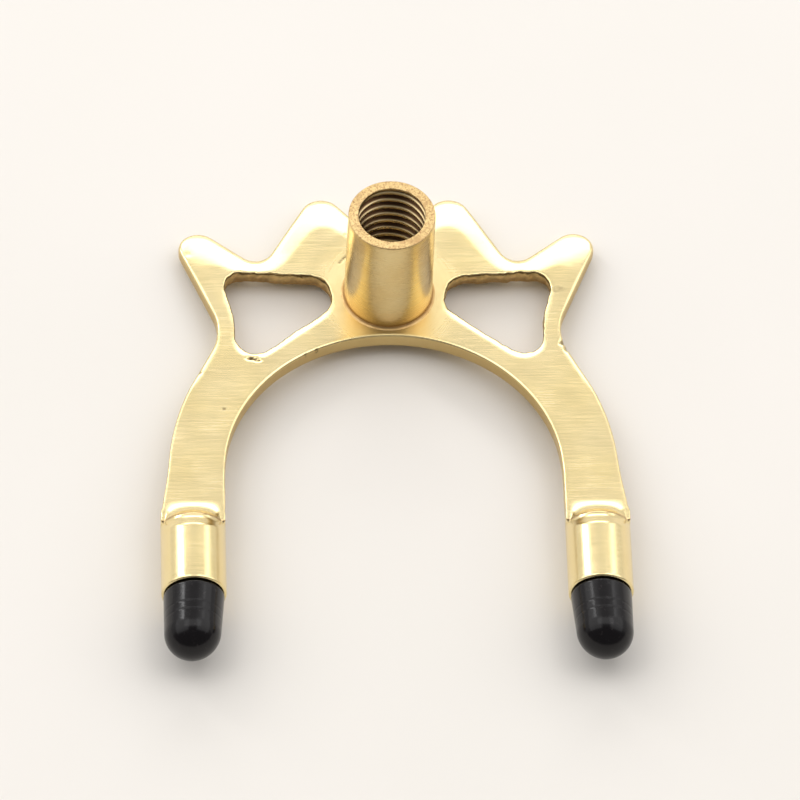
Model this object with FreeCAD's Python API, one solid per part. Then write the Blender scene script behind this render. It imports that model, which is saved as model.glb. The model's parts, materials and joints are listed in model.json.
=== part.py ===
import FreeCAD, Part
import math
import os

# Bridge head (cue rest head) in cast brass, millimetres, +Z up.
# It lies on its front with the threaded socket standing up. The horns point to +Y and the legs to -Y.
# The shapes are made about the socket's axis (x = 0, y = 0) with the legs' axes at z = 0.
# At the end everything is moved so that the origin is the middle of the bounding box's bottom.

Vector = FreeCAD.Vector
Rotation = FreeCAD.Rotation
Placement = FreeCAD.Placement

# ---- driving dimensions -------------------------------------------------------------------
leg_end_radius = 6.65        # the round leg ends
leg_spacing = 82.8           # between the two leg axes
plate_thickness = 4.2
back_height = 3.0            # the flat back face above the leg axes
socket_height = 26.3         # above the back face
socket_foot_radius = 9.2
socket_mouth_radius = 9.0
arch_radius = 34.6           # inside of the horseshoe arch
arch_drop = 45.8             # from the socket's axis down to the arch's centre

# the thread for the cue stick: 5/8 inch, 11 turns to the inch
inch = 25.4
thread_pitch = inch / 11
thread_major_radius = 0.625 * inch / 2
thread_minor_radius = 6.9
thread_length = 23.0
thread_flank_angle = math.radians(30)
thread_root_flat = thread_pitch / 8
thread_cutter_extra = 0.3    # the cutter starts this far inside the minor radius

# ---- the head's plate -----------------------------------------------------------------------
front_height = back_height - plate_thickness
leg_axis_x = leg_spacing / 2
leg_flat_width = 12.2        # of the flat leg where it meets the round end
leg_inner_x = leg_axis_x - leg_flat_width / 2
leg_outer_x = leg_axis_x + leg_flat_width / 2
leg_flat_end = -57.5         # where the flat leg stops, inside the round end

# corners of the right half as (x, y, rounding radius), from the leg's end up to the middle notch
outer_corners = [
    (leg_inner_x, leg_flat_end, 0),
    (leg_outer_x, leg_flat_end, 0),
    (45.1, -31.3, 56.0),     # gentle outer bend of the leg
    (34.6, -9.8, 12.0),      # waist
    (49.3, 25.8, 4.1),       # horn
    (26.3, 7.3, 3.8),        # side notch
    (14.2, 28.9, 4.3),       # hump
]
middle_notch = (0.0, 12.5, 4.5)
window_corners = [
    (13.0, 4.6, 4.4),
    (35.2, 5.8, 3.6),
    (32.1, -6.2, 20.0),
    (32.0, -20.0, 4.2),
    (11.1, -3.1, 5.0),
]
back_edge_rounding = 0.7
front_edge_rounding = 1.5
overlap = 1.0                # how far cutters and joined pieces run past or into each other
same_place = 1e-6            # edges this close to a height or end face lie on it

# ---- the round leg ends ---------------------------------------------------------------------
rim_y = -75.1                # the end face that the rubber foot meets
crest_y = -58.4              # top of the step from the flat leg up to the round end
crest_height = 5.8
step_radius = 6.0            # hollow of the step
step_bite = 0.1              # the hollow meets the flat face at a small angle
neck_radius = 6.0            # the round end narrows to this under the step
worn_radius = 7.5            # the sanded band behind the crest is part of a wider tilted cylinder
worn_length = 2.3            # how far behind the crest that band reaches
worn_tilt = math.degrees(math.atan2(leg_end_radius - crest_height, worn_length))
spigot_radius = 3.6          # turned peg that carries the rubber foot
spigot_length = 9.0
rim_rounding = 0.3

# ---- the socket's foot ----------------------------------------------------------------------
peg_radius = 6.0             # the socket's peg goes through the plate
braze_width = 0.7
braze_height = 0.6
braze_hollow = 0.3           # share of the bead's size left in the middle of its hollow face
mouth_chamfer = 0.5

# ---- the rubber feet ------------------------------------------------------------------------
foot_mouth_radius = 6.25
foot_dome_radius = 5.95
foot_length = 15.0
foot_gap = 0.3               # between the foot's mouth and the brass rim
spigot_clearance = 0.05
foot_mouth_rounding = 0.5
foot_socket_extra = 0.6      # the foot's hole is this much deeper than the peg is long


def mirrored(corners):
    return [(-x, y, r) for x, y, r in reversed(corners)]


def corner_arc(before, corner, after):
    """The rounding of one corner as (start, middle, end) points."""
    point = Vector(corner[0], corner[1], 0)
    toward_before = (Vector(before[0], before[1], 0) - point).normalize()
    toward_after = (Vector(after[0], after[1], 0) - point).normalize()
    half_angle = toward_before.getAngle(toward_after) / 2
    tangent = corner[2] / math.tan(half_angle)
    bisector = (toward_before + toward_after).normalize()
    start = point + toward_before * tangent
    end = point + toward_after * tangent
    middle = point + bisector * (corner[2] / math.sin(half_angle) - corner[2])
    return start, middle, end


def rounded_chain(corners, closed):
    """Edges along the corners, each rounded by its own radius. An open chain keeps its two ends."""
    edges = []
    count = len(corners)
    position = None
    first = None
    for index in range(count):
        corner = corners[index]
        is_end = not closed and index in (0, count - 1)
        if is_end or corner[2] == 0:
            start = end = Vector(corner[0], corner[1], 0)
            arc = None
        else:
            start, middle, end = corner_arc(corners[index - 1], corner, corners[(index + 1) % count])
            arc = Part.Arc(start, middle, end).toShape()
        if position is not None:
            edges.append(Part.makeLine(position, start))
        else:
            first = start
        if arc is not None:
            edges.append(arc)
        position = end
    if closed:
        edges.append(Part.makeLine(position, first))
    return edges


def slab(edges, bottom, top):
    """A flat solid between two heights, with the edges as its outline."""
    face = Part.Face(Part.Wire(edges))
    face.translate(Vector(0, 0, bottom))
    return face.extrude(Vector(0, 0, top - bottom))


def rounded_rims(solid, height, radius):
    """Round every edge of the solid that lies at one height."""
    edges = []
    for edge in solid.Edges:
        box = edge.BoundBox
        if abs(box.ZMin - height) < same_place and abs(box.ZMax - height) < same_place:
            edges.append(edge)
    return solid.makeFillet(radius, edges)


def arch_end():
    """Where the arch's circle runs on into the leg's straight inner edge."""
    down = leg_flat_end + arch_drop
    reach = math.hypot(leg_inner_x, down)
    angle = math.atan2(down, leg_inner_x) + math.acos(arch_radius / reach)
    return arch_radius * math.cos(angle), arch_radius * math.sin(angle) - arch_drop


def plate():
    """The flat casting: horns, humps, waists, arch and legs, with its two windows."""
    tangent_x, tangent_y = arch_end()
    right = [(tangent_x, tangent_y, 0)] + outer_corners
    chain = right + [middle_notch] + mirrored(right)
    edges = rounded_chain(chain, closed=False)
    arch_top = Vector(0, arch_radius - arch_drop, 0)
    arch_right = Vector(tangent_x, tangent_y, 0)
    arch_left = Vector(-tangent_x, tangent_y, 0)
    edges.append(Part.Arc(arch_left, arch_top, arch_right).toShape())
    body = slab(edges, front_height, back_height)
    for corners in (window_corners, mirrored(window_corners)):
        edges = rounded_chain(corners, closed=True)
        body = body.cut(slab(edges, front_height - overlap, back_height + overlap))
    body = rounded_rims(body, front_height, front_edge_rounding)
    return rounded_rims(body, back_height, back_edge_rounding)


def along_y(radius, y_low, y_high):
    """A round bar along Y, on x = 0 and z = 0."""
    return Part.makeCylinder(radius, y_high - y_low, Vector(0, y_low, 0), Vector(0, 1, 0))


def across_x(radius, y, z):
    """A long round bar parallel to X, for cutting hollows."""
    return Part.makeCylinder(radius, 4 * leg_end_radius, Vector(-2 * leg_end_radius, y, z), Vector(1, 0, 0))


def leg_end():
    """One round leg end on x = 0: hollow step, worn band, barrel and turned peg."""
    rise = crest_height - back_height + step_bite
    hollow_reach = math.sqrt(step_radius ** 2 - (step_radius - rise) ** 2)
    flat_y = crest_y + hollow_reach
    barrel = along_y(leg_end_radius, rim_y, crest_y)
    neck = Part.makeCone(leg_end_radius, neck_radius, hollow_reach, Vector(0, crest_y, 0), Vector(0, 1, 0))
    barrel = barrel.fuse(neck)
    barrel = barrel.cut(across_x(step_radius, flat_y, back_height + step_radius - step_bite))
    barrel = barrel.cut(across_x(step_radius, flat_y, front_height - step_radius + step_bite))
    # the worn band: what stands above a wider cylinder, tilted up towards the rim
    worn_depth = 2 * leg_end_radius
    block = Part.makeBox(worn_depth, 2 * worn_depth, worn_depth,
                         Vector(-leg_end_radius, -worn_depth, overlap - crest_height))
    keep = Part.makeCylinder(worn_radius, 2 * worn_depth, Vector(0, -worn_depth, -worn_radius), Vector(0, 1, 0))
    shaver = block.cut(keep)
    shaver.Placement = Placement(Vector(0, crest_y, crest_height), Rotation(Vector(1, 0, 0), -worn_tilt))
    barrel = barrel.cut(shaver)
    rim = [edge for edge in barrel.Edges if abs(edge.BoundBox.YMax - rim_y) < same_place]
    barrel = barrel.makeFillet(rim_rounding, rim)
    return barrel.fuse(along_y(spigot_radius, rim_y - spigot_length, rim_y + overlap))


def cast_head():
    body = plate()
    for side in (-1, 1):
        end = leg_end()
        end.translate(Vector(side * leg_axis_x, 0, 0))
        body = body.fuse(end)
    peg_hole = Part.makeCylinder(peg_radius, 3 * plate_thickness, Vector(0, 0, front_height - plate_thickness))
    return body.cut(peg_hole).removeSplitter()


def thread_cutter(top):
    """A helical tooth with a flat root, from below the thread's end to above the mouth."""
    root_half = thread_root_flat / 2
    inner_radius = thread_minor_radius - thread_cutter_extra
    depth = thread_major_radius - inner_radius
    mouth_half = root_half + depth * math.tan(thread_flank_angle)
    start = top - thread_length
    height = thread_length + 2 * thread_pitch
    helix = Part.makeLongHelix(thread_pitch, height, inner_radius)
    helix.translate(Vector(0, 0, start))
    corners = [
        Vector(inner_radius, 0, start - mouth_half),
        Vector(thread_major_radius, 0, start - root_half),
        Vector(thread_major_radius, 0, start + root_half),
        Vector(inner_radius, 0, start + mouth_half),
    ]
    profile = Part.makePolygon(corners + [corners[0]])
    return Part.Wire(helix.Edges).makePipeShell([profile], True, True)


def threaded_socket():
    """The turned barrel on the back: outside slightly tapered, coarse thread inside, peg below."""
    top = back_height + socket_height
    barrel = Part.makeCone(socket_foot_radius, socket_mouth_radius, socket_height, Vector(0, 0, back_height))
    peg = Part.makeCylinder(peg_radius, plate_thickness + overlap, Vector(0, 0, front_height))
    body = barrel.fuse(peg)
    bore_depth = thread_length + thread_pitch / 2
    bore = Part.makeCylinder(thread_minor_radius, bore_depth + overlap, Vector(0, 0, top - bore_depth))
    body = body.cut(bore)
    lead_in = Part.makeCone(thread_minor_radius, thread_minor_radius + mouth_chamfer, mouth_chamfer,
                            Vector(0, 0, top - mouth_chamfer))
    body = body.cut(lead_in)
    return body.cut(thread_cutter(top))


def braze_ring():
    """The small hollow fillet of braze round the socket's foot."""
    inner = socket_foot_radius
    low = Vector(inner, 0, back_height)
    outer = Vector(inner + braze_width, 0, back_height)
    high = Vector(inner, 0, back_height + braze_height)
    hollow = Vector(inner + braze_hollow * braze_width, 0, back_height + braze_hollow * braze_height)
    edges = [Part.makeLine(low, outer), Part.Arc(outer, hollow, high).toShape(), Part.makeLine(high, low)]
    ring = Part.Face(Part.Wire(edges)).revolve(Vector(0, 0, 0), Vector(0, 0, 1), 360)
    top_radius = socket_foot_radius - (socket_foot_radius - socket_mouth_radius) * braze_height / socket_height
    barrel = Part.makeCone(socket_foot_radius, top_radius, braze_height, Vector(0, 0, back_height))
    return ring.cut(barrel)


def rubber_foot():
    """One push-on foot on x = 0: slightly tapered, round end, with a blind hole for the peg."""
    mouth_y = rim_y - foot_gap
    dome_y = rim_y - foot_length + foot_dome_radius
    body = Part.makeCone(foot_dome_radius, foot_mouth_radius, mouth_y - dome_y,
                         Vector(0, dome_y, 0), Vector(0, 1, 0))
    dome = Part.makeSphere(foot_dome_radius, Vector(0, dome_y, 0))
    body = body.fuse(dome.cut(along_y(foot_dome_radius, dome_y, mouth_y)))
    mouth = [edge for edge in body.Edges if abs(edge.BoundBox.YMin - mouth_y) < same_place]
    body = body.makeFillet(foot_mouth_rounding, mouth)
    hole_end = rim_y - spigot_length - foot_socket_extra
    return body.cut(along_y(spigot_radius + spigot_clearance, hole_end, mouth_y + overlap))


def all_parts():
    left_foot = rubber_foot()
    left_foot.translate(Vector(-leg_axis_x, 0, 0))
    right_foot = rubber_foot()
    right_foot.translate(Vector(leg_axis_x, 0, 0))
    return {
        "cast_head": cast_head(),
        "threaded_socket": threaded_socket(),
        "braze_ring": braze_ring(),
        "left_foot": left_foot,
        "right_foot": right_foot,
    }


def main():
    os.makedirs("parts", exist_ok=True)
    parts = all_parts()
    box = Part.makeCompound(list(parts.values())).optimalBoundingBox(False, False)
    to_origin = Vector(0, -(box.YMin + box.YMax) / 2, -box.ZMin)
    print("socket axis at y =", round(to_origin.y, 3), "leg axes at z =", round(to_origin.z, 3))
    for name, shape in parts.items():
        shape.translate(to_origin)
        size = shape.optimalBoundingBox(False, False)
        print(name, shape.isValid(), len(shape.Solids), "volume", round(shape.Volume, 1),
              "box", [round(v, 2) for v in (size.XMin, size.YMin, size.ZMin, size.XMax, size.YMax, size.ZMax)])
        shape.exportStep("parts/" + name + ".step")


main()
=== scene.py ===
import json
import math

import bmesh
import bpy
import numpy as np
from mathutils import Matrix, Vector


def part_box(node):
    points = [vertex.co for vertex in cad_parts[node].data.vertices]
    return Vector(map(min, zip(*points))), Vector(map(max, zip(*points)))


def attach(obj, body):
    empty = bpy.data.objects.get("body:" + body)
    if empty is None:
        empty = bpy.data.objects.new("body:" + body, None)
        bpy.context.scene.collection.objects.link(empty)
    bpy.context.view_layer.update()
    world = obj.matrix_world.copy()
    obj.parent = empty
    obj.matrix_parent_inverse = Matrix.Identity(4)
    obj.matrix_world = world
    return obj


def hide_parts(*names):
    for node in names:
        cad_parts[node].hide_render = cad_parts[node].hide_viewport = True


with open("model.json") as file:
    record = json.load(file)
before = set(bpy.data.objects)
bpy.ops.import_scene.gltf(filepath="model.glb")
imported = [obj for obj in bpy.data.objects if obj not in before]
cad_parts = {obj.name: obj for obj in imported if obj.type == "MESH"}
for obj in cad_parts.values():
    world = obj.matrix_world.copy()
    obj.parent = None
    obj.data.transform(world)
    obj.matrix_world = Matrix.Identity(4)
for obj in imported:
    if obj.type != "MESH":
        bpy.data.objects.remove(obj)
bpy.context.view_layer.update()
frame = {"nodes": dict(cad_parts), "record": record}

import openvdb
from mathutils import Vector

# A cast brass cue rest head, lying on its front with its socket standing up.
# Everything is in metres in the frame of the CAD model: +Z along the socket, +Y towards the horns.

MM = 0.001

# ---- places that come from the frame ------------------------------------------------------
head_low, head_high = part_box("cast_head")
socket_low, socket_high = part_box("threaded_socket")
ring_low, ring_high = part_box("braze_ring")
foot_low, foot_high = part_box("right_foot")
openings = {entry["name"]: entry["box_m"] for entry in frame["record"]["physics"]["openings"]}
mounts = {entry["name"]: entry for entry in frame["record"]["mounts"]}

socket_y = mounts["socket_thread"]["pos_m"][1]
back_z = ring_low.z                      # the plate's flat back face
front_z = socket_low.z                   # the plate's flat front face
leg_radius = (head_high.z - head_low.z) / 2
leg_z = head_low.z + leg_radius
leg_x = (foot_low.x + foot_high.x) / 2
rim_gap = 0.3 * MM                       # between each rubber foot and the brass rim it meets
rim_y = foot_high.y + rim_gap
crest_y = socket_y - 58.4 * MM           # top of the sharp step from flat leg to round end


# ---- small helpers ---------------------------------------------------------------------------
def link(name, data):
    """Put an object with this mesh, lamp or camera into the scene."""
    made = bpy.data.objects.new(name, data)
    bpy.context.scene.collection.objects.link(made)
    return made


def skinned(name, points, faces):
    """A smooth mesh from points and faces."""
    mesh = bpy.data.meshes.new(name)
    mesh.from_pydata(points.tolist(), [], faces)
    mesh.polygons.foreach_set("use_smooth", [True] * len(mesh.polygons))
    mesh.update()
    return mesh


def link_piece(name, mesh, material):
    """Put a piece with its material into the scene."""
    piece = link(name, mesh)
    piece.data.materials.append(material)
    return piece


def smoothstep(low, high, value):
    """0 at low and 1 at high with a soft start and end; low may be the larger."""
    t = np.clip((value - low) / (high - low), 0.0, 1.0)
    return t * t * (3 - 2 * t)


def store(mesh, name, values):
    """Keep one number per vertex under a name that a material can read."""
    layer = mesh.attributes.new(name, "FLOAT", "POINT")
    layer.data.foreach_set("value", np.asarray(values, np.float32))


def value_noise(points, size, seed):
    """Smooth noise from -1 to 1 over space, with lumps of about this size, mixed from hashed corners."""
    scaled = points / size
    base = np.floor(scaled).astype(np.int64)
    part = scaled - base
    part = part * part * (3 - 2 * part)
    total = np.zeros(len(points))
    for corner in range(8):
        offset = np.array([corner & 1, (corner >> 1) & 1, (corner >> 2) & 1])
        lattice = base + offset
        mixed = lattice[:, 0] * 73856093 ^ lattice[:, 1] * 19349663 ^ lattice[:, 2] * 83492791
        mixed = mixed ^ seed * 2654435761
        mixed = (mixed ^ (mixed >> 13)) * 1274126177 & 0xFFFFFFFF
        lump = ((mixed ^ (mixed >> 16)) & 0xFFFF) / 32767.5 - 1
        weight = np.prod(np.where(offset == 1, part, 1 - part), axis=1)
        total += lump * weight
    return total


# ---- the casting ---------------------------------------------------------------------------------
# The casting is described by the distance to its surface, in millimetres about the socket's axis,
# sampled on an even grid, and skinned. Z is counted from the legs' axes.
cell = 0.25                  # the grid's step
margin = 1.0                 # how far the grid reaches past the casting
crest = (crest_y - socket_y) / MM
rim = (rim_y - socket_y) / MM
back = (back_z - leg_z) / MM
front = (front_z - leg_z) / MM
section_depth = 1.5          # below the back face, where the outline is cut
barrel_radius = leg_radius / MM
leg_line = leg_x / MM
leg_bulge = 0.4              # how much wider the flat legs get towards their steps
hollow_radius = 6.0          # of the hollow step's sweep, and how long it is
hollow_length = 5.1
worn_radius = 7.1            # the rubbed band behind the crest: its curve, its height at the crest,
worn_top = 5.8               # its level shelf and its whole length
worn_shelf = 1.0
worn_length = 3.3
peg_radius = 3.6
peg_length = 9.0
sharp_edge = 0.05            # edge roundings
back_edge = 0.5
window_edge = 0.2
front_edge = 1.4
barrel_edge = 0.35
leg_fillet = 0.25            # where the flat leg runs into the round end


def plate_section():
    """The plate's outline as 2D segments: the casting cut between its two rounded rims."""
    cut = bmesh.new()
    cut.from_mesh(frame["nodes"]["cast_head"].data)
    level = Vector((0, 0, back_z - section_depth * MM))
    found = bmesh.ops.bisect_plane(cut, geom=cut.verts[:] + cut.edges[:] + cut.faces[:],
                                   plane_co=level, plane_no=Vector((0, 0, 1)))
    edges = [item for item in found["geom_cut"] if isinstance(item, bmesh.types.BMEdge)]
    segments = np.array([[tuple(v.co)[:2] for v in edge.verts] for edge in edges])
    cut.free()
    return (segments - np.array([0, socket_y])) / MM


def window_of(segments, name):
    """The closed run of segments round one window, followed from the one nearest its middle."""
    low, high = (np.array(corner)[:2] for corner in openings[name])
    middle = ((low + high) / 2 - np.array([0, socket_y])) / MM
    ends = [{tuple(place) for place in segment} for segment in np.round(segments, 3).tolist()]
    chosen = {int(np.argmin(np.linalg.norm(segments.mean(axis=1) - middle, axis=1)))}
    count = 0
    while len(chosen) > count:
        count = len(chosen)
        reached = set.union(*(ends[index] for index in chosen))
        chosen = {index for index, pair in enumerate(ends) if pair & reached}
    return segments[sorted(chosen)]


def distance_to(segments, x, y):
    """Distance from every place to the nearest segment."""
    best = np.full(x.shape, 1e9)
    for (ax, ay), (bx, by) in segments:
        dx, dy = bx - ax, by - ay
        share = np.clip(((x - ax) * dx + (y - ay) * dy) / (dx * dx + dy * dy + 1e-12), 0, 1)
        best = np.minimum(best, (x - ax - share * dx) ** 2 + (y - ay - share * dy) ** 2)
    return np.sqrt(best)


def inside(segments, xs, ys):
    """1 where a place lies inside the closed outline, by counting crossings along each row."""
    off_corners = 0.0137
    mask = np.zeros((len(xs), len(ys)))
    start, stop = segments[:, 0], segments[:, 1]
    for column, y in enumerate(ys + off_corners):
        crosses = (start[:, 1] > y) != (stop[:, 1] > y)
        a, b = start[crosses], stop[crosses]
        hits = a[:, 0] + (y - a[:, 1]) * (b[:, 0] - a[:, 0]) / (b[:, 1] - a[:, 1])
        mask[:, column] = (hits[None, :] < xs[:, None]).sum(axis=1) % 2
    return mask


def blurred(mask, spread, shift):
    """The mask averaged by a round kernel that looks towards +Y by the shift."""
    gx = (np.arange(mask.shape[0]) - mask.shape[0] // 2) * cell
    gy = (np.arange(mask.shape[1]) - mask.shape[1] // 2) * cell
    kernel = np.outer(np.exp(-(gx / spread) ** 2 / 2), np.exp(-((gy + shift) / spread) ** 2 / 2))
    spectrum = np.fft.rfft2(mask) * np.fft.rfft2(np.fft.ifftshift(kernel / kernel.sum()))
    return np.fft.irfft2(spectrum, mask.shape)


def soft_ramp(value, width):
    """0 below zero and the value itself above, with a soft corner."""
    return width * np.logaddexp(0, value / width)


def soft_join(a, b, radius):
    """The union of two distances with a small hollow fillet."""
    h = np.clip(radius - np.abs(a - b), 0, None)
    return np.minimum(a, b) - h * h / (4 * radius)


def rounded_meeting(side, top, radius):
    """Where a side wall and a top face meet with a rounded edge."""
    u, v = side + radius, top + radius
    return np.minimum(np.maximum(u, v), 0) + np.hypot(np.maximum(u, 0), np.maximum(v, 0)) - radius


def grid_noise(x, y, z, size, seed):
    """value_noise over grids of any shape."""
    places = np.stack(np.broadcast_arrays(x, y, z), axis=-1)
    return value_noise(places.reshape(-1, 3), size, seed).reshape(places.shape[:-1])


def rough_walls(x, y, z, share):
    """The uneven as-cast skin of the window walls, in the columns where the share isn't zero."""
    height = 0.26
    lump, grit = 2.8, 0.9
    rough = np.zeros((x.shape[0], y.shape[1], z.shape[2]))
    i, j = np.nonzero(share > 0.01)
    places = (x[i, 0], y[0, j, 0][:, None], z[0])
    bumps = height * grid_noise(*places, lump, 1) + height * grid_noise(*places, grit, 2)
    # the upper walls are rougher than the lower ones
    bumps *= 0.6 + 0.4 * smoothstep(1, 4, places[1])
    rough[i, j] = bumps * share[i, j][:, None]
    return rough


# casting flaws in the back face as (x, y, width, height, depth, dirt), dirt from 0 to 1
pits = [
    (-28.6, -16.9, 1.3, 0.42, 0.45, 1.0),
    (-27.4, -17.4, 0.8, 0.35, 0.35, 1.0),
    (36.1, -12.9, 0.8, 0.7, 0.6, 0.6),
    (37.0, -14.5, 0.7, 0.9, 0.6, 0.6),
    (12.6, -0.9, 0.5, 1.0, 0.4, 1.0),
    (13.0, -3.8, 0.8, 0.7, 0.4, 1.0),
    (-34.6, -30.1, 0.4, 0.4, 0.04, 0.7),
    (-15.3, -14.7, 0.4, 0.2, 0.1, 0.9),
    (-17.6, -15.9, 0.35, 0.2, 0.1, 0.9),
    (-39.5, -20.5, 0.4, 0.4, 0.2, 0.5),
    (-41.6, 10.6, 0.9, 0.8, 0.05, 0.0),
    (-8.6, 15.6, 0.35, 0.3, 0.03, 0.9),
    (35.6, 0.9, 1.5, 0.9, 0.0, 0.25),
]
scratch_low = (-9.9, 8.0)
scratch_high = (-8.6, 9.7)
scratch_width = 0.3
scratch_depth = 0.06


def flaws(x, y):
    """Depth and dirt of the small flaws in the back face."""
    ragged = 1 + 0.4 * grid_noise(x, y, 0 * x, 0.6, 5)
    depth = np.zeros(x.shape)
    dirt = np.zeros(x.shape)
    for px, py, width, height, deep, dark in pits:
        shape = np.exp(-(((x - px) / width) ** 2 + ((y - py) / height) ** 2) * ragged * 1.6)
        depth = np.maximum(depth, deep * shape)
        dirt = np.maximum(dirt, dark * smoothstep(0.15, 0.45, shape))
    scratch = distance_to([(scratch_low, scratch_high)], x, y)
    mark = np.exp(-(scratch / scratch_width) ** 2 * ragged)
    depth = np.maximum(depth, scratch_depth * mark)
    dirt = np.maximum(dirt, 0.8 * smoothstep(0.3, 0.7, mark))
    return depth, dirt


def buffed(metal, depth, spread, shift, corner):
    """How deep the buffing has gone where less than four fifths of the surroundings are metal."""
    return depth * soft_ramp(0.80 - blurred(metal, spread, shift), corner)


class Plate:
    """Flat maps of the plate over a grid in X and Y.

    side: distance to the outline; drop: how far the back face is rubbed down; near_window: 1 along the
    windows' walls; rim: how round the back edge is; flaw and dirt: the small flaws.
    """

    def __init__(self, xs, ys):
        x, y = np.meshgrid(xs, ys, indexing="ij")
        segments = plate_section()
        windows = [window_of(segments, name) for name in ("left_window", "right_window")]
        edge_of_window = np.minimum(distance_to(windows[0], x, y), distance_to(windows[1], x, y))
        in_window = np.maximum(inside(windows[0], xs, ys), inside(windows[1], xs, ys))
        metal = inside(segments, xs, ys)
        outline = distance_to(segments, x, y)

        # the flat legs widen towards their steps, but no further than the round ends; the large number
        # only switches that limit off above the steps
        widen = leg_bulge * smoothstep(crest + 13, crest + 3, y)
        leg_side = np.abs(np.abs(x) - leg_line) - barrel_radius + 0.05
        leg_side = leg_side - 90 * smoothstep(crest + 3, crest + 6, y)
        self.side = np.maximum(np.where(metal > 0.5, -outline, outline) - widen, leg_side)
        near_window = smoothstep(0.6, -0.2, edge_of_window - outline)
        self.near_window = near_window * smoothstep(4, 2, edge_of_window)

        # buffing has rolled the horns and humps off towards +Y, and the lower edges of the windows
        filled = np.maximum(metal, in_window)
        crown = buffed(filled, 1.35, 3.8, 2.6, 0.012) * smoothstep(-12, 2, y)
        roll = buffed(metal, 0.5, 1.0, 0.8, 0.03) * smoothstep(-26, -20, y)
        waves = 0.008 * grid_noise(x, y, 0 * x, 5.0, 3) * smoothstep(crest + 8, crest + 16, y)
        self.drop = crown + roll + waves
        self.flaw, self.dirt = flaws(x, y)
        self.rim = back_edge - (back_edge - window_edge) * self.near_window


def step_rise(along, end_height, flat_height):
    """How far the hollow step stands above the flat leg."""
    top = np.maximum(end_height - flat_height, 0)
    reach = np.clip(hollow_length - (along - crest), 0, hollow_length)
    full = hollow_radius - math.sqrt(hollow_radius ** 2 - hollow_length ** 2)
    return top * (hollow_radius - np.sqrt(hollow_radius ** 2 - reach ** 2)) / full


def round_end(across, y, z):
    """One round leg end on its own axis, with the worn band behind its crest."""
    radius = np.hypot(across, z)
    barrel = rounded_meeting(radius - barrel_radius, rim - y, barrel_edge)
    slope = (barrel_radius - worn_top) / (worn_length - worn_shelf)
    worn_axis = worn_top - worn_radius + slope * soft_ramp(crest - worn_shelf - y, 0.12)
    band = np.hypot(across, np.maximum(z - worn_axis, 0)) - worn_radius
    barrel = np.maximum(np.maximum(barrel, band), y - crest)
    peg = np.maximum(radius - peg_radius, rim - peg_length - y)
    return np.minimum(barrel, np.maximum(peg, y - rim - 1))


def head_distance(xs, ys, zs, plate):
    """Distance to the whole casting's surface on the grid."""
    x, y, z = np.meshgrid(xs, ys, zs, indexing="ij", sparse=True)
    across = np.abs(x) - leg_line
    worn_height = worn_top - worn_radius + np.sqrt(np.maximum(worn_radius ** 2 - across ** 2, 0.01))
    round_height = np.sqrt(np.maximum(barrel_radius ** 2 - across ** 2, 0.01))

    # past the crest the flat leg closes in and ends inside the round end
    past = np.clip(crest - y, 0, None)
    top = back - plate.drop[..., None] - plate.flaw[..., None]
    top = top + step_rise(y, worn_height, back) - past
    bottom = front - step_rise(y, round_height, -front) + past
    side = plate.side[..., None] + rough_walls(x, y, z, plate.near_window) + past

    # the edges sharpen towards the crest
    away = smoothstep(crest + 0.5, crest + hollow_length, y)
    back_rounding = sharp_edge + (plate.rim[..., None] - sharp_edge) * away
    front_rounding = sharp_edge + (front_edge - sharp_edge) * away
    solid = rounded_meeting(side, z - top, back_rounding)
    solid = np.maximum(solid, rounded_meeting(side, bottom - z, front_rounding))
    solid = np.maximum(solid, crest - 3 - y)
    return soft_join(solid, round_end(across, y, z), leg_fillet)


def read_grid(grid, low, places):
    """Values of a grid at the places, mixed linearly."""
    at = (places - low) / cell
    at = np.clip(at, 0, np.array(grid.shape[:3]) - 1.001)
    base = at.astype(int)
    part = at - base
    total = 0
    for corner in range(2 ** len(low)):
        offset = np.array([(corner >> axis) & 1 for axis in range(len(low))])
        weight = np.prod(np.where(offset == 1, part, 1 - part), axis=1)
        total = total + grid[tuple((base + offset).T)] * weight
    return total


def skin(solid, low):
    """Places, outward directions and faces of the surface where the distance is zero."""
    level_set = openvdb.FloatGrid()
    level_set.background = 3.0
    level_set.copyFromArray(solid)
    places, quads = level_set.convertToQuads()
    places = places.astype(float) * cell + low
    slopes = np.gradient(solid, cell)
    # the extracted places are rounded off at sharp edges, so they are pulled back onto the surface
    for _ in range(2):
        gap = read_grid(solid, low, places)
        facing = np.stack([read_grid(slope, low, places) for slope in slopes], axis=1)
        places -= facing * (gap / np.maximum((facing ** 2).sum(axis=1), 0.2))[:, None]
    facing /= np.linalg.norm(facing, axis=1)[:, None]
    return places, facing, quads[:, ::-1].tolist()


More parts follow.
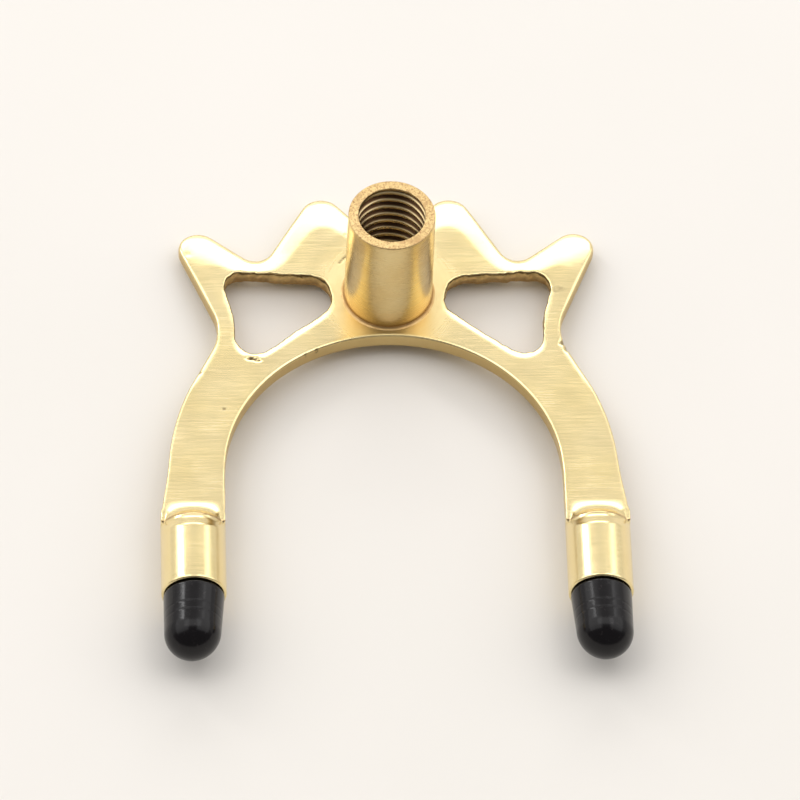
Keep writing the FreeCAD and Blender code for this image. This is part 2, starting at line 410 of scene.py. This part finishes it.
def make_head():
    """The whole casting, with where its walls, dirt, painted wall shade and painted step shade line are
    kept for the material.
    """
    origin = np.array([0, socket_y, leg_z])
    low = (np.array(head_low) - origin) / MM - margin
    high = (np.array(head_high) - origin) / MM + margin
    xs, ys, zs = (np.arange(a, b, cell) for a, b in zip(low, high))
    plate = Plate(xs, ys)
    solid = head_distance(xs, ys, zs, plate).astype(np.float32)
    places, facing, faces = skin(solid, low)
    mesh = skinned("head_casting", places * MM + origin, faces)

    flat = places[:, :2]
    y, z = places[:, 1], places[:, 2]
    steep = np.abs(facing[:, 2])
    near_window = read_grid(plate.near_window, low[:2], flat)
    dirt = read_grid(plate.dirt, low[:2], flat)
    # painted shade on the upright walls, strongest on those facing the near side (-Y)
    upright_shade = smoothstep(0.75, 0.3, steep) * smoothstep(crest + 1, crest + 6, y)
    upright_shade *= 0.4 + 0.6 * smoothstep(0.2, -0.5, facing[:, 1])
    # a painted shade line along the crest of the step, standing in for the dark edge there
    step_shade_line = np.exp(-((y - crest + 0.05) / 0.25) ** 2) * smoothstep(0.0, 0.4, facing[:, 2])
    store(mesh, "walls", near_window * smoothstep(0.85, 0.5, steep))
    store(mesh, "upright_shade", upright_shade)
    store(mesh, "dirt", dirt * smoothstep(back - 1.4, back - 1.0, z))
    store(mesh, "step", step_shade_line)
    piece = link_piece("head_casting", mesh, cast_brass())
    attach(piece, "head")
    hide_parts("cast_head")


# ---- the threaded socket -----------------------------------------------------------------------
around = 192                 # points in each row round an axis
thread_pitch = 25.4 / 11 * MM
thread_root = 7.94 * MM
thread_crest = mounts["socket_thread"]["dims"]["r_mm"] * MM
thread_length = 23.0 * MM
socket_peg_radius = 6.0 * MM
peg_bevel = 0.4 * MM
mouth_narrowing = 0.2 * MM   # how much thinner the barrel is at its mouth
mouth_edge = 0.3 * MM
saw_depth = 0.05 * MM        # unevenness of the sawn rim
row_angles = np.arange(around) * 2 * math.pi / around


def thread_radius(angle, z):
    """Radius of the internal thread: narrow worn crests and wide rounded grooves."""
    depth = thread_root - thread_crest
    turn = (z - socket_high.z) / thread_pitch - angle / (2 * math.pi)
    phase = np.abs(turn - np.floor(turn) - 0.5) * 2
    groove = smoothstep(0.08, 0.86, 1 - phase)
    start = smoothstep(socket_high.z - 0.5 * MM, socket_high.z - 1.5 * MM, z)
    end_z = socket_high.z - thread_length
    end = smoothstep(end_z - 0.8 * thread_pitch, end_z, z)
    return thread_crest + depth * groove * start * end


def row_faces(first, second):
    """The band of faces from one row of points to another."""
    faces = []
    for step in range(around):
        after = (step + 1) % around
        faces.append((first * around + step, first * around + after,
                      second * around + after, second * around + step))
    return faces


def capped_skin(name, rows):
    """A closed skin through rows of points round an axis; the first and last rows are capped by a fan."""
    last = len(rows) - 1
    faces = []
    for row in range(last):
        faces += row_faces(row, row + 1)
    low = len(rows) * around
    high = low + 1
    for step in range(around):
        after = (step + 1) % around
        faces.append((low, after, step))
        faces.append((high, last * around + step, last * around + after))
    points = np.vstack(rows + [rows[0].mean(axis=0), rows[-1].mean(axis=0)])
    return skinned(name, points, faces)


def socket_row(radius, z):
    """One row of points round the socket's axis."""
    radius = np.broadcast_to(radius, around)
    height = np.broadcast_to(z, around)
    return np.column_stack([radius * np.cos(row_angles), socket_y + radius * np.sin(row_angles), height])


def make_socket():
    """Outside from the peg up to the mouth, over the sawn rim, and down the thread to the blind end."""
    foot_radius = socket_high.x
    mouth_radius = foot_radius - mouth_narrowing
    top = socket_high.z
    rows = [socket_row(socket_peg_radius - peg_bevel, front_z),
            socket_row(socket_peg_radius, front_z + peg_bevel),
            socket_row(socket_peg_radius, back_z),
            socket_row(foot_radius - 0.05 * MM, back_z),
            socket_row(foot_radius, back_z + 0.08 * MM)]
    for z in np.linspace(back_z + 0.5 * MM, top - mouth_edge, 24):
        share = (z - back_z) / (top - back_z)
        rows.append(socket_row(foot_radius + (mouth_radius - foot_radius) * share, z))
    for turn in np.linspace(0.2, 1.0, 5) * math.pi / 2:
        rows.append(socket_row(mouth_radius - mouth_edge * (1 - math.cos(turn)),
                               top - mouth_edge * (1 - math.sin(turn))))

    # the sawn rim, slightly uneven
    inner = thread_crest + 0.15 * MM
    for radius in np.linspace(mouth_radius - mouth_edge, inner, 9)[1:]:
        flat = socket_row(radius, top)
        flat[:, 2] -= saw_depth * (1 + value_noise(flat, 0.9 * MM, 8))
        rows.append(flat)

    # the thread, with a lead-in at the mouth
    for z in np.arange(top - 0.1 * MM, top - thread_length - 1.15 * MM, -0.09 * MM):
        lead = inner - (top - z) * 0.9
        rows.append(socket_row(np.maximum(thread_radius(row_angles, z), lead), z))

    mesh = capped_skin("threaded_socket_skin", rows)
    points = np.array([tuple(vertex.co) for vertex in mesh.vertices])
    radius = np.hypot(points[:, 0], points[:, 1] - socket_y)
    z = points[:, 2]
    bore = (radius < thread_root + 0.05 * MM) & (z > back_z + 0.5 * MM) & (z < top - 0.15 * MM)
    store(mesh, "bore", bore.astype(float))
    store(mesh, "groove", bore * smoothstep(0.13 * MM, 0.42 * MM, radius - thread_crest))
    store(mesh, "rim", smoothstep(top - 0.35 * MM, top - 0.1 * MM, z))
    piece = link_piece("socket_barrel", mesh, turned_brass())
    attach(piece, "head")
    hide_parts("threaded_socket")


def make_braze():
    """The hollow fillet of braze round the socket's foot, a little uneven."""
    outer = ring_high.x
    inner = socket_high.x - 0.05 * MM
    under = back_z - 0.05 * MM
    height = 0.45 * MM
    rows = [socket_row(outer, under)]
    for climb in np.linspace(0.1, 1.0, 8):
        row = socket_row(outer - (outer - inner) * climb, back_z)
        swell = 1 + 0.12 * value_noise(row, 1.4 * MM, 9)
        row[:, 2] = back_z + height * climb ** 2.2 * swell
        rows.append(row)
    rows.append(socket_row(inner, under))
    faces = []
    for row in range(len(rows)):
        faces += row_faces(row, (row + 1) % len(rows))
    mesh = skinned("braze_ring_skin", np.concatenate(rows), faces)
    piece = link_piece("braze_bead", mesh, braze_brass())
    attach(piece, "head")
    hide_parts("braze_ring")


# ---- the rubber feet ------------------------------------------------------------------------------
hole_radius = 3.65 * MM
hole_depth = 9.3 * MM
hole_bevel = 0.2 * MM
hole_rows = 3                # rows of the profile that are inside the hole
foot_edge = 0.5 * MM
foot_taper = 0.42 * MM       # how much thinner a foot is where its dome starts
mould_lines = (4.9 * MM, 6.8 * MM)       # how far each lies behind the mouth
mould_depth = 0.04 * MM
mould_width = 0.12 * MM
foot_lean = math.radians(2.4)


def foot_profile(mouth, low, mouth_radius):
    """The cap's section as (radius, y), from the hole's bottom over the mouth to the dome's tip."""
    dome_radius = mouth_radius - foot_taper
    dome_y = low + dome_radius
    profile = [(hole_radius, mouth - hole_depth), (hole_radius, mouth - 4 * MM),
               (hole_radius, mouth - hole_bevel), (hole_radius + hole_bevel, mouth),
               (mouth_radius - foot_edge, mouth)]
    for turn in np.linspace(0, math.pi / 2, 6)[1:]:
        profile.append((mouth_radius - foot_edge * (1 - math.sin(turn)),
                        mouth - foot_edge * (1 - math.cos(turn))))
    for y in np.linspace(mouth - 0.8 * MM, dome_y, 60):
        share = (mouth - y) / (mouth - dome_y)
        groove = sum(mould_depth * math.exp(-((y - mouth + line) / mould_width) ** 2)
                     for line in mould_lines)
        profile.append((mouth_radius - (mouth_radius - dome_radius) * share - groove, y))
    for turn in np.linspace(0, math.pi / 2, 26)[1:-1]:
        profile.append((dome_radius * math.cos(turn), dome_y - dome_radius * math.sin(turn)))
    profile.append((0.02 * MM, dome_y - dome_radius))
    return profile


def make_foot(side):
    """A moulded cap: hole, rounded mouth, slight taper, two faint mould lines and a round end."""
    name = "left" if side < 0 else "right"
    low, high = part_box(name + "_foot")
    x = (low.x + high.x) / 2
    mouth = high.y
    lean = side * math.tan(foot_lean)
    rows = []
    for index, (radius, y) in enumerate(foot_profile(mouth, low.y, (high.x - low.x) / 2)):
        # the soft cap sits a little askew, leaning outwards, but its hole stays straight on the peg
        aside = 0 if index < hole_rows else lean * (mouth - y)
        rows.append(np.column_stack([x + aside + radius * np.cos(row_angles), np.full(around, y),
                                     leg_z + radius * np.sin(row_angles)]))
    mesh = capped_skin(name + "_foot_skin", rows)
    piece = link_piece(name + "_rubber_foot", mesh, black_rubber())
    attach(piece, name + "_foot")
    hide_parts(name + "_foot")


# ---- materials -----------------------------------------------------------------------------------
class Shader:
    """A material with short calls for adding and joining its nodes."""

    def __init__(self, name):
        self.material = bpy.data.materials.new(name)
        self.material.use_nodes = True
        self.tree = self.material.node_tree
        self.surface = self.tree.nodes["Principled BSDF"]
        self.place = self.node("ShaderNodeTexCoord").outputs["Object"]

    def node(self, kind, **settings):
        made = self.tree.nodes.new(kind)
        for name, value in settings.items():
            setattr(made, name, value)
        return made

    def join(self, source, target):
        """Link an output to an input, or set the input to a plain value."""
        if isinstance(source, (int, float, tuple)):
            target.default_value = source
        else:
            self.tree.links.new(source, target)

    def math(self, operation, a, b=0.5, c=0.5):
        made = self.node("ShaderNodeMath", operation=operation)
        for value, socket in zip((a, b, c), made.inputs):
            self.join(value, socket)
        return made.outputs[0]

    def add(self, a, b):
        return self.math("ADD", a, b)

    def times(self, a, b):
        return self.math("MULTIPLY", a, b)

    def minus(self, a, b):
        return self.math("SUBTRACT", a, b)

    def stretched(self, x, y, z):
        """The place with its own scale along each axis."""
        made = self.node("ShaderNodeMapping")
        made.inputs["Scale"].default_value = (x, y, z)
        self.join(self.place, made.inputs["Vector"])
        return made.outputs[0]

    def noise(self, scale, detail=4.0, rough=0.5, where=None):
        made = self.node("ShaderNodeTexNoise")
        made.inputs["Scale"].default_value = scale
        made.inputs["Detail"].default_value = detail
        made.inputs["Roughness"].default_value = rough
        self.join(where or self.place, made.inputs["Vector"])
        return made.outputs["Fac"]

    def remap(self, value, low, high, to_low=0.0, to_high=1.0):
        """The value's range from low to high spread over the second range, and held outside it."""
        made = self.node("ShaderNodeMapRange")
        for number, socket in zip((value, low, high, to_low, to_high), made.inputs):
            self.join(number, socket)
        return made.outputs[0]

    def mix(self, share, first, second):
        """The first colour where the share is 0 and the second where it is 1."""
        made = self.node("ShaderNodeMix", data_type="RGBA")
        self.join(share, made.inputs[0])
        self.join(first, made.inputs[6])
        self.join(second, made.inputs[7])
        return made.outputs[2]

    def from_socket(self):
        """The place's x and y from the socket's axis, and its z."""
        parts = self.node("ShaderNodeSeparateXYZ")
        self.join(self.place, parts.inputs[0])
        return parts.outputs[0], self.minus(parts.outputs[1], socket_y), parts.outputs[2]

    def height(self):
        return self.from_socket()[2]

    def radius(self):
        """Distance from the socket's axis."""
        x, y, _ = self.from_socket()
        return self.math("SQRT", self.add(self.times(x, x), self.times(y, y)))

    def polar(self, out, turn):
        """Places as distance from the socket's axis and angle about it, each with its own scale."""
        x, y, _ = self.from_socket()
        made = self.node("ShaderNodeCombineXYZ")
        self.join(self.times(self.radius(), out), made.inputs[0])
        self.join(self.times(self.math("ARCTAN2", y, x), turn), made.inputs[1])
        return made.outputs[0]

    def read(self, name):
        """A number kept on the mesh by store."""
        return self.node("ShaderNodeAttribute", attribute_name=name).outputs["Fac"]

    def bump(self, height, distance, strength):
        made = self.node("ShaderNodeBump")
        made.inputs["Strength"].default_value = strength
        made.inputs["Distance"].default_value = distance
        self.join(height, made.inputs["Height"])
        return made.outputs["Normal"]

    def finish(self, color, roughness, normal, metallic):
        self.join(color, self.surface.inputs["Base Color"])
        self.join(roughness, self.surface.inputs["Roughness"])
        self.join(normal, self.surface.inputs["Normal"])
        self.surface.inputs["Metallic"].default_value = metallic
        return self.material


pale_brass = (0.90, 0.75, 0.42, 1)
deep_brass = (0.89, 0.73, 0.38, 1)
dull_brass = (0.54, 0.38, 0.15, 1)
heat_brass = (0.72, 0.56, 0.26, 1)
lit_wall_tan = (0.95, 0.72, 0.34, 1)
shaded_wall_brown = (0.50, 0.32, 0.14, 1)
step_shade_brown = (0.36, 0.20, 0.10, 1)
patina = (0.06, 0.035, 0.015, 1)
barrel_brass = (0.72, 0.565, 0.28, 1)
barrel_shade = (0.67, 0.495, 0.22, 1)
barrel_foot_tint = (0.62, 0.36, 0.12, 1)
sawn_brass = (0.68, 0.50, 0.24, 1)
rust_brown = (0.26, 0.10, 0.04, 1)
thread_brass = (0.92, 0.72, 0.40, 1)
thread_grime = (0.045, 0.015, 0.006, 1)
braze_light = (0.84, 0.65, 0.32, 1)
braze_shade = (0.72, 0.50, 0.22, 1)
braze_corner_shade = (0.40, 0.22, 0.08, 1)
rubber_black = (0.004, 0.003, 0.004, 1)
rubber_dust = (0.25, 0.22, 0.21, 1)
floor_light = (0.805, 0.77, 0.73, 1)
floor_shade = (0.79, 0.758, 0.715, 1)

metal_bump = 0.04 * MM       # height of the brass's finest relief
rubber_bump = 0.012 * MM
paper_bump = 0.06 * MM


def wall_brass(s, grime):
    """As-cast window walls: tan above in painted light and brown below in painted shade, with a dark
    ragged line under the upper edge.
    """
    ragged = s.remap(s.noise(600, 4, 0.6), 0.3, 0.7, -0.4 * MM, 0.4 * MM)
    depth = s.add(s.minus(back_z, s.height()), ragged)
    # painted light makes the upper wall tan and painted shade makes the lower wall brown
    color = s.mix(s.remap(depth, 1.4 * MM, 2.6 * MM), lit_wall_tan, shaded_wall_brown)
    color = s.mix(s.times(grime, 0.35), color, patina)
    from_lip = s.math("ABSOLUTE", s.minus(depth, 0.4 * MM))
    return s.mix(s.remap(from_lip, 0.1 * MM, 0.5 * MM, 0.95, 0.0), color, patina)


def cast_brass():
    """Sanded satin brass: brush lines across, ground rings round the socket, dark as-cast window walls
    with painted light and shade, painted shade on the upright walls and a painted shade line along the
    step.
    """
    s = Shader("cast_brass_satin")
    across = s.noise(1, 4, 0.7, s.stretched(140, 4600, 900))
    rings = s.noise(1, 4, 0.65, s.polar(3600, 4))
    near_socket = s.remap(s.radius(), 12 * MM, 17 * MM, 1.0, 0.0)
    lines = s.add(s.times(rings, near_socket), s.times(across, s.minus(1.0, near_socket)))
    upright_shade = s.read("upright_shade")
    walls = s.read("walls")
    grime = s.remap(s.noise(700, 4, 0.6), 0.3, 0.6)

    color = s.mix(s.remap(s.noise(90, 3), 0.35, 0.65), pale_brass, deep_brass)
    color = s.mix(s.remap(lines, 0.40, 0.60, 0.11, 0.0), color, dull_brass)
    # painted shade darkens the upright walls
    color = s.mix(s.times(upright_shade, 0.8), color, dull_brass)
    warm = s.remap(s.radius(), 9.5 * MM, 19 * MM, 0.65, 0.0)
    patches = s.remap(s.noise(220, 3), 0.35, 0.6, 0.5, 1.0)
    color = s.mix(s.times(warm, patches), color, heat_brass)
    color = s.mix(walls, color, wall_brass(s, grime))
    crumbs = s.remap(s.noise(1500, 3), 0.35, 0.5, 0.3, 1)
    color = s.mix(s.times(s.read("dirt"), crumbs), color, patina)
    # painted shade line along the step's crest
    color = s.mix(s.times(s.read("step"), 0.7), color, step_shade_brown)

    satin = s.add(s.remap(lines, 0.3, 0.7, 0.17, 0.27), s.remap(s.noise(160, 4), 0.3, 0.7, -0.02, 0.03))
    satin = s.add(satin, s.times(upright_shade, 0.2))
    satin = s.add(satin, s.times(near_socket, 0.1))
    roughness = s.add(satin, s.times(walls, 0.3))
    fine = s.times(lines, s.remap(near_socket, 0.0, 1.0, 0.32, 0.6))
    height = s.add(fine, s.times(grime, walls))
    return s.finish(color, roughness, s.bump(height, metal_bump, 0.4), 1.0)


def turned_brass():
    """Satin barrel with faint turning marks, a stained sawn rim and a grimy thread."""
    s = Shader("turned_brass_satin")
    rim = s.read("rim")
    speck = s.remap(s.noise(2600, 4, 0.65), 0.47, 0.62)
    stain = s.remap(s.noise(330, 4, 0.6), 0.52, 0.66)
    turning = s.noise(1, 2, 0.5, s.stretched(60, 60, 5000))

    color = s.mix(s.remap(s.noise(140, 3), 0.35, 0.65), barrel_brass, barrel_shade)
    # darker and redder towards the barrel's foot
    color = s.mix(s.remap(s.height(), back_z, back_z + 6 * MM, 0.55, 0.0), color, barrel_foot_tint)
    color = s.mix(s.times(rim, 0.6), color, sawn_brass)
    dark = s.math("MAXIMUM", s.times(speck, 0.7), s.times(stain, 0.45))
    color = s.mix(s.times(dark, rim), color, rust_brown)
    color = s.mix(s.times(s.read("bore"), 0.8), color, thread_brass)
    color = s.mix(s.times(s.read("groove"), 0.97), color, thread_grime)

    roughness = s.add(s.remap(turning, 0.3, 0.7, 0.25, 0.33), s.times(rim, 0.2))
    height = s.add(s.times(turning, 0.15), s.times(speck, rim))
    return s.finish(color, roughness, s.bump(height, metal_bump, 0.4), 1.0)


def braze_brass():
    """The braze, rubbed down to brass, with painted shade deepening towards the corner at the barrel."""
    s = Shader("braze_darkened")
    tone = s.remap(s.noise(500, 4), 0.35, 0.65)
    # painted shade, darkest in the corner where the braze meets the barrel
    corner_shade = s.remap(s.radius(), socket_high.x, ring_high.x, 0.95, 0.4)
    color = s.mix(corner_shade, s.mix(tone, braze_light, braze_shade), braze_corner_shade)
    return s.finish(color, s.remap(tone, 0, 1, 0.4, 0.5), s.bump(s.noise(900, 3), metal_bump, 0.3), 1.0)


def black_rubber():
    """Smooth black rubber with a soft shine, faint scuffs and dust."""
    s = Shader("black_rubber_moulded")
    dust = s.remap(s.noise(900, 5, 0.7), 0.60, 0.74)
    color = s.mix(s.times(dust, 0.12), rubber_black, rubber_dust)
    roughness = s.remap(s.noise(250, 4, 0.6, s.stretched(1, 3, 1)), 0.3, 0.7, 0.14, 0.2)
    scuff = s.noise(1, 3, 0.6, s.stretched(300, 2600, 300))
    s.surface.inputs["Specular IOR Level"].default_value = 0.27
    return s.finish(color, roughness, s.bump(scuff, rubber_bump, 0.25), 0.0)


def floor_paper():
    """Pale matt paper with a very faint change of tone."""
    s = Shader("pale_floor")
    color = s.mix(s.remap(s.noise(9, 3), 0.35, 0.65), floor_light, floor_shade)
    return s.finish(color, 0.7, s.bump(s.noise(300, 4), paper_bump, 0.15), 0.0)


# ---- floor, lights and camera ---------------------------------------------------------------------
floor_size = 2.0             # half its side
floor_gap = 0.02 * MM
light_distance = 2.0
room_white = (1.0, 0.98, 0.95, 1)
room_fade = (-0.32, 0.02, 0.24, 0.79)    # from the near side to the far side, and how bright each is

# soft lights as (name, azimuth, elevation, width, height, how bright their face looks)
softboxes = [
    ("back_window", 0, 33.5, 1.7, 0.75, 2.6),
    ("back_left_strip", -47, 34, 0.2, 0.8, 8.0),
    ("back_right_strip", 47, 34, 0.22, 0.8, 1.5),
    ("left_side", -84, 48, 2.0, 2.0, 0.95),
    ("right_side", 84, 48, 2.0, 2.0, 0.95),
    ("overhead", 0, 84, 2.4, 1.0, 0.9),
]

# the camera's angles in degrees, its distance in metres, and its lens and sensor in millimetres
camera_azimuth = 4.195
camera_elevation = 53.044
camera_roll = 3.176
camera_distance = 1.651
camera_target = Vector((1.7 * MM, socket_y - 27.9 * MM, back_z))
camera_lens = 360
camera_sensor = 36


def towards(azimuth, elevation):
    """A direction; azimuth is counted in degrees from +Y towards +X."""
    a, e = math.radians(azimuth), math.radians(elevation)
    return Vector((math.sin(a) * math.cos(e), math.cos(a) * math.cos(e), math.sin(e)))


def make_floor():
    """The floor touches the round leg ends under their steps and the front of the humps."""
    front_contact = Vector((0, head_high.y - 1.0 * MM, front_z))
    leg_contact = Vector((0, crest_y, head_low.z))
    rise = front_contact - leg_contact
    corners = [(-floor_size, -floor_size, 0), (floor_size, -floor_size, 0),
               (floor_size, floor_size, 0), (-floor_size, floor_size, 0)]
    mesh = bpy.data.meshes.new("floor")
    mesh.from_pydata(corners, [], [(0, 1, 2, 3)])
    floor = link("floor", mesh)
    floor.location = leg_contact - Vector((0, 0, floor_gap))
    floor.rotation_euler = (math.atan2(rise.z, rise.y), 0, 0)
    floor.data.materials.append(floor_paper())


def make_softbox(name, azimuth, elevation, width, height, radiance):
    """A rectangle of light facing the head, given how bright its face looks."""
    data = bpy.data.lights.new(name, "AREA")
    data.shape = "RECTANGLE"
    data.size = width
    data.size_y = height
    data.energy = radiance * math.pi * width * height
    light = link(name, data)
    light.location = towards(azimuth, elevation) * light_distance
    aim = Vector((0, 0, 0.01))
    light.rotation_euler = (aim - light.location).to_track_quat("-Z", "Y").to_euler()


def make_room():
    """Light from all round: bright above and behind the head, and dim on the near side."""
    world = bpy.data.worlds.new("studio")
    bpy.context.scene.world = world
    world.use_nodes = True
    nodes, links = world.node_tree.nodes, world.node_tree.links
    background = nodes["Background"]
    background.inputs["Color"].default_value = room_white
    direction = nodes.new("ShaderNodeTexCoord")
    parts = nodes.new("ShaderNodeSeparateXYZ")
    fade = nodes.new("ShaderNodeMapRange")
    fade.interpolation_type = "SMOOTHSTEP"
    for socket, value in zip(fade.inputs[1:5], room_fade):
        socket.default_value = value
    links.new(direction.outputs["Generated"], parts.inputs[0])
    links.new(parts.outputs[1], fade.inputs[0])
    links.new(fade.outputs[0], background.inputs["Strength"])


def make_camera():
    """A long lens 37 degrees off the socket's axis, from slightly to the left."""
    forward = towards(camera_azimuth, -camera_elevation)
    data = bpy.data.cameras.new("camera")
    data.lens = camera_lens
    data.sensor_width = camera_sensor
    camera = link("camera", data)
    camera.location = camera_target - forward * camera_distance
    camera.rotation_euler = forward.to_track_quat("-Z", "Y").to_euler()
    camera.rotation_euler.rotate_axis("Z", math.radians(camera_roll))
    bpy.context.scene.camera = camera
    bpy.context.scene.view_settings.view_transform = "Standard"


make_head()
make_socket()
make_braze()
make_foot(-1)
make_foot(1)
make_floor()
for softbox in softboxes:
    make_softbox(*softbox)
make_room()
make_camera()
